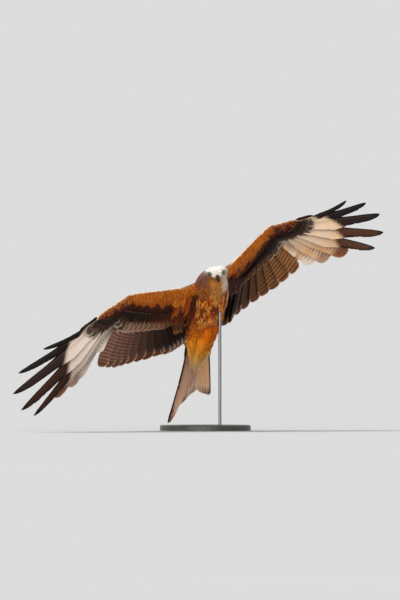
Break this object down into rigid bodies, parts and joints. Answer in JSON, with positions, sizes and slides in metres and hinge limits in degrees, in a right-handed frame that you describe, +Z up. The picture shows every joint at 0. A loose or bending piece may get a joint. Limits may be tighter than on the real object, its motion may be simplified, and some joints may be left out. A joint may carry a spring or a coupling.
{
  "type": "red kite bird model on a display stand",
  "caption": "Life-size still model of a red kite in banked flight, fork tail spread and head turned down, held over a round base by one upright rod.",
  "frame": {"origin": "centre of the underside of the round stand base", "axes": "+Z up from the table, -Y towards the viewer of the reference view, +X to that viewer's right"},
  "size_m": [1.2174, 0.9425, 0.7609],
  "materials": {
    "head_feathers": "whitish head feathers with fine grey shaft streaks",
    "cere_skin": "bare yellow skin of the cere",
    "bill_horn": "dark horn, satin, paler near the base",
    "eye": "pale grey-yellow iris with a black pupil under a clear dome",
    "breast_feathers": "rufous body feathers with blackish shaft streaks",
    "tail_feathers": "pale rufous buff vanes below, rufous above, dark outer edges and corners",
    "wing_feathers": "rufous and dark brown coverts, grey-brown barred secondaries, white window, blackish fingers",
    "leg_skin": "yellow scaled legs and toes with black claws",
    "stand_paint": "satin black paint on wood",
    "stand_steel": "brushed steel rod"
  },
  "bodies": {
    "root": {"head": "head_feathers", "cere": "cere_skin", "bill_upper": "bill_horn", "bill_lower": "bill_horn", "eye_left": "eye", "eye_right": "eye", "neck": "breast_feathers", "torso": "breast_feathers", "tail": "tail_feathers", "wing_inner_left": "wing_feathers", "wing_inner_right": "wing_feathers", "wing_outer_left": "wing_feathers", "wing_outer_right": "wing_feathers", "thigh_left": "breast_feathers", "thigh_right": "breast_feathers", "shank_left": "leg_skin", "shank_right": "leg_skin", "foot_left": "leg_skin", "foot_right": "leg_skin", "stand_base": "stand_paint", "stand_rod": "stand_steel"}
  },
  "joints": []
}
